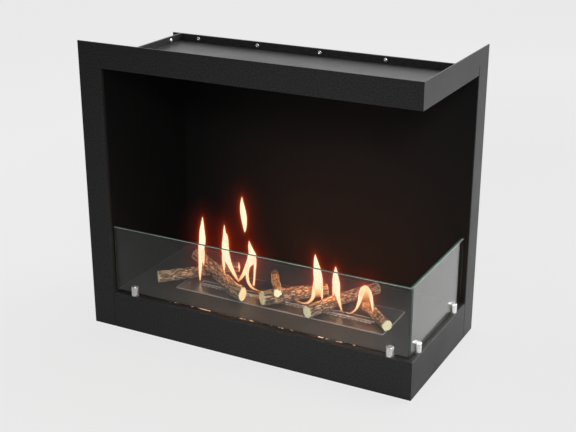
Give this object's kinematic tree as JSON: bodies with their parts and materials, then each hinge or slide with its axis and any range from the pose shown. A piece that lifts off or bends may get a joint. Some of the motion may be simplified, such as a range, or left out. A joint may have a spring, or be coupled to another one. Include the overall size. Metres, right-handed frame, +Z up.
{
  "type": "bioethanol fireplace",
  "caption": "Corner firebox of bent black steel, open at the front and right, with a low clamped glass guard, a drop-in slotted burner with a sliding shutter, and loose ceramic branches.",
  "frame": {"origin": "middle of the footprint, on the surface that the base stands on", "axes": "+X to the right along the width, towards the open side; +Y to the rear, towards the wall; +Z up"},
  "size_m": [0.7, 0.33, 0.588],
  "materials": {
    "black_steel": "matte black powder coat with a fine texture",
    "stainless_steel": "brushed, warmed by heat and the glow of the fire",
    "chrome": "polished",
    "zinc_plated_steel": "bright zinc plating",
    "clear_glass": "clear, with polished green edges",
    "pad_liner": "matte",
    "ceramic_fibre": "matte mineral wool",
    "ceramic_bark": "rough painted bark with pale cream cut ends"
  },
  "bodies": {
    "housing": {"left_shell": "black_steel", "rear_shell": "black_steel", "ceiling_tray": "black_steel", "hearth_floor": "black_steel", "base_pan": "black_steel", "floor_stiffener_front": "black_steel", "floor_stiffener_rear": "black_steel", "ceiling_screw_rear_1": "zinc_plated_steel", "ceiling_screw_rear_2": "zinc_plated_steel", "ceiling_screw_rear_3": "zinc_plated_steel", "ceiling_screw_rear_4": "zinc_plated_steel", "ceiling_screw_rear_5": "zinc_plated_steel", "ceiling_nut_rear_1": "zinc_plated_steel", "ceiling_nut_rear_2": "zinc_plated_steel", "ceiling_nut_rear_3": "zinc_plated_steel", "ceiling_nut_rear_4": "zinc_plated_steel", "ceiling_nut_rear_5": "zinc_plated_steel", "ceiling_screw_left_1": "zinc_plated_steel", "ceiling_screw_left_2": "zinc_plated_steel", "ceiling_nut_left_1": "zinc_plated_steel", "ceiling_nut_left_2": "zinc_plated_steel", "glass_clamp_front_left": "chrome", "glass_clamp_front_right": "chrome", "glass_clamp_side_front": "chrome", "glass_clamp_side_rear": "chrome", "clamp_pad_front_left": "pad_liner", "clamp_pad_front_right": "pad_liner", "clamp_pad_side_front": "pad_liner", "clamp_pad_side_rear": "pad_liner", "clamp_nut_front_left": "zinc_plated_steel", "clamp_nut_front_right": "zinc_plated_steel", "clamp_nut_side_front": "zinc_plated_steel", "clamp_nut_side_rear": "zinc_plated_steel"},
    "front_pane": {"front_glass": "clear_glass"},
    "side_pane": {"side_glass": "clear_glass"},
    "burner": {"burner_plate": "stainless_steel", "fuel_tank": "stainless_steel", "spill_tray": "stainless_steel", "fibre_block": "ceramic_fibre", "flame_grille": "stainless_steel", "shutter_rail_left": "stainless_steel", "shutter_rail_right": "stainless_steel"},
    "shutter": {"shutter_plate": "stainless_steel", "shutter_tab": "stainless_steel"},
    "branch_1": {"log_1": "ceramic_bark"},
    "branch_2": {"log_2": "ceramic_bark"},
    "branch_3": {"log_3": "ceramic_bark"},
    "branch_4": {"log_4": "ceramic_bark"},
    "branch_5": {"log_5": "ceramic_bark"},
    "branch_6": {"log_6": "ceramic_bark"}
  },
  "joints": [
    {"name": "front_pane_lift", "type": "slide", "parent": "housing", "child": "front_pane", "axis": [0, 0, 1], "range_m": [0, 0.03]},
    {"name": "side_pane_lift", "type": "slide", "parent": "housing", "child": "side_pane", "axis": [0, 0, 1], "range_m": [0, 0.03]},
    {"name": "burner_lift", "type": "slide", "parent": "housing", "child": "burner", "axis": [0, 0, 1], "range_m": [0, 0.12]},
    {"name": "shutter_slide", "type": "slide", "parent": "burner", "child": "shutter", "axis": [0, -1, 0], "range_m": [0, 0.0155]},
    {"name": "branch_1_lift", "type": "slide", "parent": "burner", "child": "branch_1", "axis": [0, 0, 1], "range_m": [0, 0.1]},
    {"name": "branch_2_lift", "type": "slide", "parent": "branch_1", "child": "branch_2", "axis": [0, 0, 1], "range_m": [0, 0.1]},
    {"name": "branch_3_lift", "type": "slide", "parent": "branch_4", "child": "branch_3", "axis": [0, 0, 1], "range_m": [0, 0.1]},
    {"name": "branch_4_lift", "type": "slide", "parent": "burner", "child": "branch_4", "axis": [0, 0, 1], "range_m": [0, 0.1]},
    {"name": "branch_5_lift", "type": "slide", "parent": "burner", "child": "branch_5", "axis": [0, 0, 1], "range_m": [0, 0.1]},
    {"name": "branch_6_lift", "type": "slide", "parent": "burner", "child": "branch_6", "axis": [0, 0, 1], "range_m": [0, 0.1]}
  ]
}
